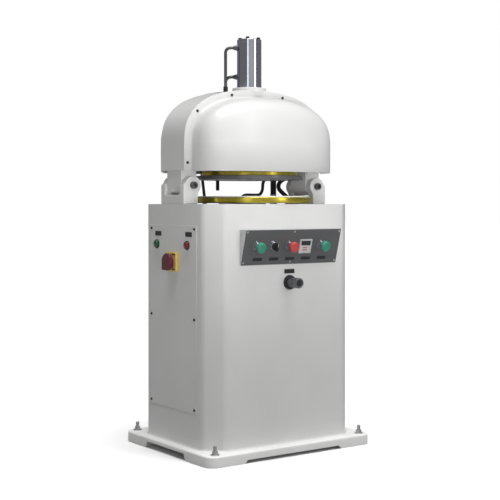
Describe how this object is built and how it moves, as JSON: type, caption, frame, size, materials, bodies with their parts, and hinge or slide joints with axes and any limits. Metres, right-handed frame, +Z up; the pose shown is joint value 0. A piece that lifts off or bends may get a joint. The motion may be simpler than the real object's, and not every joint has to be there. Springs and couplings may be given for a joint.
{
  "type": "divider rounder",
  "caption": "Floor-standing hydraulic bakery machine: a chamfered cabinet carries an orbiting dough table under a domed press head with a vertical cylinder.",
  "frame": {"origin": "centre of the base plate's underside, on the floor", "axes": "+Z up, +X to the right along the front, +Y from the front to the back"},
  "size_m": [0.686, 0.5744, 1.4425],
  "materials": {
    "white_paint": "satin",
    "base_paint": "satin",
    "console_paint": "fine textured",
    "steel": "machined",
    "zinc": "zinc plated",
    "chrome": "polished",
    "cast_iron": "painted",
    "brass": "satin",
    "black_steel": "blackened",
    "aluminium": "satin",
    "rubber": "matt",
    "black_plastic": "matt",
    "label": "satin",
    "white_plastic": "matt",
    "grey_plastic": "matt",
    "green_button": "gloss",
    "red_button": "gloss",
    "yellow_plastic": "matt",
    "maroon_plastic": "satin",
    "green_lens": "clear",
    "red_lens": "clear",
    "display": "gloss",
    "knob_grey": "bead blasted",
    "pin_steel": "blackened and worn",
    "ring_grey": "satin",
    "oil_tank": "matt"
  },
  "bodies": {
    "cabinet": {"base_plate": "base_paint", "levelling_feet": "zinc", "cabinet_shell": "white_paint", "deck_plate": "steel", "left_panel": "white_paint", "rear_panel": "white_paint", "panel_screws": "black_steel", "lamp_bezels": "black_plastic", "green_lamp": "green_lens", "red_lamp": "red_lens", "switch_plate": "yellow_plastic", "label_plates": "label", "control_panel": "console_paint", "control_panel_screws": "zinc", "button_collars": "chrome", "timer_case": "grey_plastic", "timer_display": "display", "timer_keypad": "black_plastic", "adjuster_flange": "black_plastic", "left_yoke": "white_paint", "right_yoke": "white_paint", "pivot_pins": "pin_steel", "head_arch": "white_paint", "front_cover": "white_paint", "rear_cover": "white_paint", "cover_screws": "black_steel", "cylinder_collar": "white_paint", "cylinder_barrel": "chrome", "cylinder_cap": "steel", "cylinder_bolts": "black_steel", "oil_pipes": "black_steel", "head_manifold": "steel", "rear_hoses": "rubber", "fittings": "black_steel", "stop_rod": "black_steel", "bearing_housings": "cast_iron", "motor_shelf": "steel", "drive_motor": "cast_iron", "drive_belt": "rubber", "oil_tank": "oil_tank", "pump_unit": "cast_iron"},
    "press": {"press_rod": "chrome", "press_plate": "aluminium", "press_pads": "white_plastic", "guard_ring": "brass", "press_ring": "ring_grey"},
    "knives": {"knife_grid": "steel"},
    "crank": {"crank_shaft": "steel", "crank_pulley": "cast_iron"},
    "idler": {"idle_crank": "steel"},
    "motor_rotor": {"motor_pulley": "steel"},
    "table": {"table_disc": "aluminium", "table_rim": "brass"},
    "plate": {"dough_plate": "white_plastic"},
    "start_left": {"start_button_left": "green_button"},
    "start_right": {"start_button_right": "green_button"},
    "stop": {"stop_button": "red_button"},
    "selector": {"selector_knob": "black_plastic"},
    "main_switch": {"switch_knob": "maroon_plastic"},
    "adjuster": {"adjusting_knob": "knob_grey"}
  },
  "joints": [
    {"name": "press_slide", "type": "slide", "parent": "cabinet", "child": "press", "axis": [0, 0, -1], "range_m": [0, 0.0572]},
    {"name": "knife_slide", "type": "slide", "parent": "press", "child": "knives", "axis": [0, 0, -1], "range_m": [0, 0.018]},
    {"name": "crank_spin", "type": "hinge", "parent": "cabinet", "child": "crank", "pos_m": [0, -0.012, 0.8], "axis": [0, 0, 1], "continuous": true},
    {"name": "table_orbit", "type": "hinge", "parent": "crank", "child": "table", "pos_m": [0, -0.037, 0.86], "axis": [0, 0, 1], "continuous": true},
    {"name": "idle_spin", "type": "hinge", "parent": "cabinet", "child": "idler", "pos_m": [0, 0.116, 0.8], "axis": [0, 0, 1], "continuous": true},
    {"name": "motor_spin", "type": "hinge", "parent": "cabinet", "child": "motor_rotor", "pos_m": [0.15, 0.06, 0.65], "axis": [0, 0, 1], "continuous": true},
    {"name": "plate_slide", "type": "slide", "parent": "table", "child": "plate", "axis": [0, -1, 0], "range_m": [0, 0.42]},
    {"name": "start_left_press", "type": "slide", "parent": "cabinet", "child": "start_left", "axis": [0, 0.9642, 0.2652], "range_m": [0, 0.005], "stiffness_N_per_m": 800},
    {"name": "stop_press", "type": "slide", "parent": "cabinet", "child": "stop", "axis": [0, 0.9642, 0.2652], "range_m": [0, 0.005], "stiffness_N_per_m": 800},
    {"name": "start_right_press", "type": "slide", "parent": "cabinet", "child": "start_right", "axis": [0, 0.9642, 0.2652], "range_m": [0, 0.005], "stiffness_N_per_m": 800},
    {"name": "selector_turn", "type": "hinge", "parent": "cabinet", "child": "selector", "pos_m": [-0.075, -0.25643, 0.712], "axis": [0, -0.9642, -0.2652], "range_deg": [-45, 45]},
    {"name": "switch_turn", "type": "hinge", "parent": "cabinet", "child": "main_switch", "pos_m": [-0.3085, 0.001, 0.653], "axis": [-1, 0, 0], "range_deg": [0, 90]},
    {"name": "adjuster_turn", "type": "hinge", "parent": "cabinet", "child": "adjuster", "pos_m": [0.011, -0.234, 0.583], "axis": [0, -1, 0], "range_deg": [0, 300]}
  ],
  "couplings": [
    {"joint": "table_orbit", "follows": "crank_spin", "ratio": -1},
    {"joint": "idle_spin", "follows": "crank_spin", "ratio": 1},
    {"joint": "motor_spin", "follows": "crank_spin", "ratio": 2}
  ]
}
